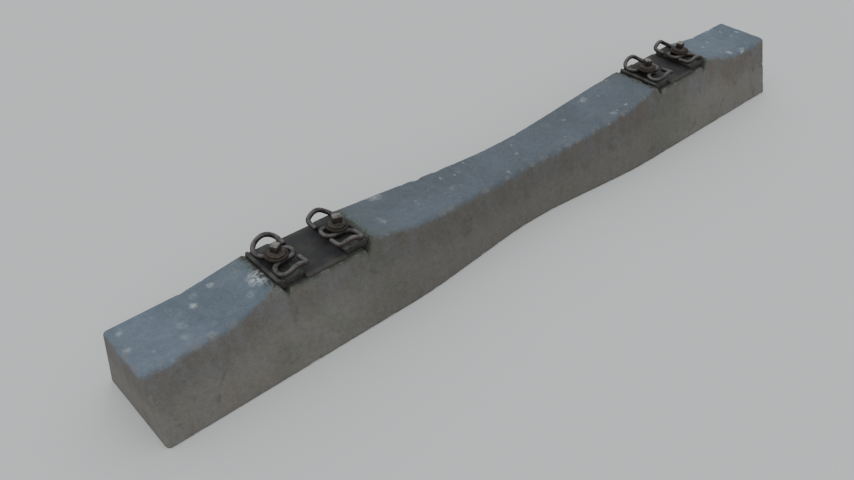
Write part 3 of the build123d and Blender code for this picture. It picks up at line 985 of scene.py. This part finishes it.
def screw_form(turn):
    """The points and faces of a screw whose head is turned by that angle."""
    spin = np.array([[math.cos(turn), math.sin(turn)], [-math.sin(turn), math.cos(turn)]])
    shank = [(SHANK if z > SHANK_END else SHANK_TIP, z) for z in np.linspace(SHANK_END, COLLAR_UP - 2, 12)]
    rows = shank + list(collar_line)
    outlines = [circle(SCREW_AROUND) * radius for radius, z in rows]
    heights = [z for radius, z in rows]
    for reach, z, oblong in head_rows:
        size = reach / HEAD_REACH * (1 - HEAD_TAPER * (z - HEAD_FOOT))
        outline = head_outline(size) * oblong + circle(SCREW_AROUND) * HEAD_NECK * (1 - oblong)
        outlines.append(outline @ spin)
        heights.append(COLLAR_UP + z)
    return stacked(outlines, heights)


screw_steel = rusty_steel(
    "screw_steel",
    plain=colour(48, 41, 35),
    bright=colour(84, 65, 50),
    dark=colour(30, 26, 23),
    dust=colour(152, 149, 143),
    dust_share=0.12,
    patch=60.0,
)
for number, (side, edge) in enumerate(SPOTS):
    points, faces = screw_form(math.radians(SCREW_TURNS[side, edge]))
    centres = points * [0, 0, 1]
    centres[:, 2] = np.clip(points[:, 2], SHANK_END + 6, COLLAR_UP + 16)
    points = pitted(points, centres, 0.14, 6.0, 120 + number * 3)
    screw = mesh_piece(f"head_screw_{side}_{edge}", placed(points, screw_frame(side, edge)), faces)
    # The head tops get pale dust laid on thick, partly a painted highlight.
    top_dust_and_highlight = (points[:, 2] - COLLAR_UP - TOP_DUST_AND_HIGHLIGHT_FROM) / (TOP_DUST_AND_HIGHLIGHT_FULL - TOP_DUST_AND_HIGHLIGHT_FROM)
    note_on(screw, "top_dust_and_highlight", np.clip(top_dust_and_highlight, 0, 1) * TOP_DUST_AND_HIGHLIGHT_MOST)
    screw.data.materials.append(screw_steel)
    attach(screw, "root")
    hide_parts(f"sleeper_screw_{side}_{edge}")

# The room. A plain pale floor as wide as one can see, under a soft overcast sky with three wide
# soft lights. The camera is where the photograph was taken, turned to take in the whole sleeper.

FLOOR_RADIUS, FLOOR_STEPS, FLOOR_GAP = 60.0, 96, 0.0005
SKY, SKY_STRENGTH = (0.93, 0.97, 1.0, 1), 0.66
CAMERA_PLACE, CAMERA_AIM = Vector((-1.643, -1.446, 1.578)), Vector((-0.4, -0.06, 0.1))
CAMERA_LENS, CAMERA_SENSOR = 35.5, 36

floor_mesh = bpy.data.meshes.new("floor")
shape = bmesh.new()
bmesh.ops.create_circle(shape, cap_ends=True, segments=FLOOR_STEPS, radius=FLOOR_RADIUS)
shape.to_mesh(floor_mesh)
shape.free()
floor = bpy.data.objects.new("floor", floor_mesh)
floor.location.z = -FLOOR_GAP
bpy.context.scene.collection.objects.link(floor)
paper, tree, shader = new_material("pale_floor")
tone = noise_at(tree, place_of(tree), 0.6, 2.0)
base = mixed(tree, tone, colour(224, 224, 223), colour(230, 230, 229))
finish_material(tree, shader, base, ranged(tree, tone, 0.8, 0.9), tone, 0.02, 0.001)
floor.data.materials.append(paper)

world = bpy.data.worlds.new("soft_sky")
bpy.context.scene.world = world
world.use_nodes = True
sky = world.node_tree.nodes["Background"].inputs
sky["Color"].default_value = SKY
sky["Strength"].default_value = SKY_STRENGTH


def soft_light(name, place, power, spread):
    """Even light from the direction of a place, soft because it comes from a wide part of the sky."""
    lamp = bpy.data.lights.new(name, "SUN")
    lamp.energy = power
    lamp.angle = math.radians(spread)
    holder = bpy.data.objects.new(name, lamp)
    holder.rotation_euler = Vector(place).to_track_quat("Z", "Y").to_euler()
    bpy.context.scene.collection.objects.link(holder)


soft_light("over", (-0.3, 0.4, 3.5), 0.42, 70)
soft_light("front", (-2.4, -2.6, 2.3), 0.36, 50)
soft_light("back", (2.2, 2.6, 2.1), 0.18, 50)

camera = bpy.data.cameras.new("photo_camera")
camera.lens = CAMERA_LENS
camera.sensor_width = CAMERA_SENSOR
viewer = bpy.data.objects.new("photo_camera", camera)
viewer.location = CAMERA_PLACE
viewer.rotation_euler = (CAMERA_AIM - CAMERA_PLACE).to_track_quat("-Z", "Y").to_euler()
bpy.context.scene.collection.objects.link(viewer)
bpy.context.scene.camera = viewer
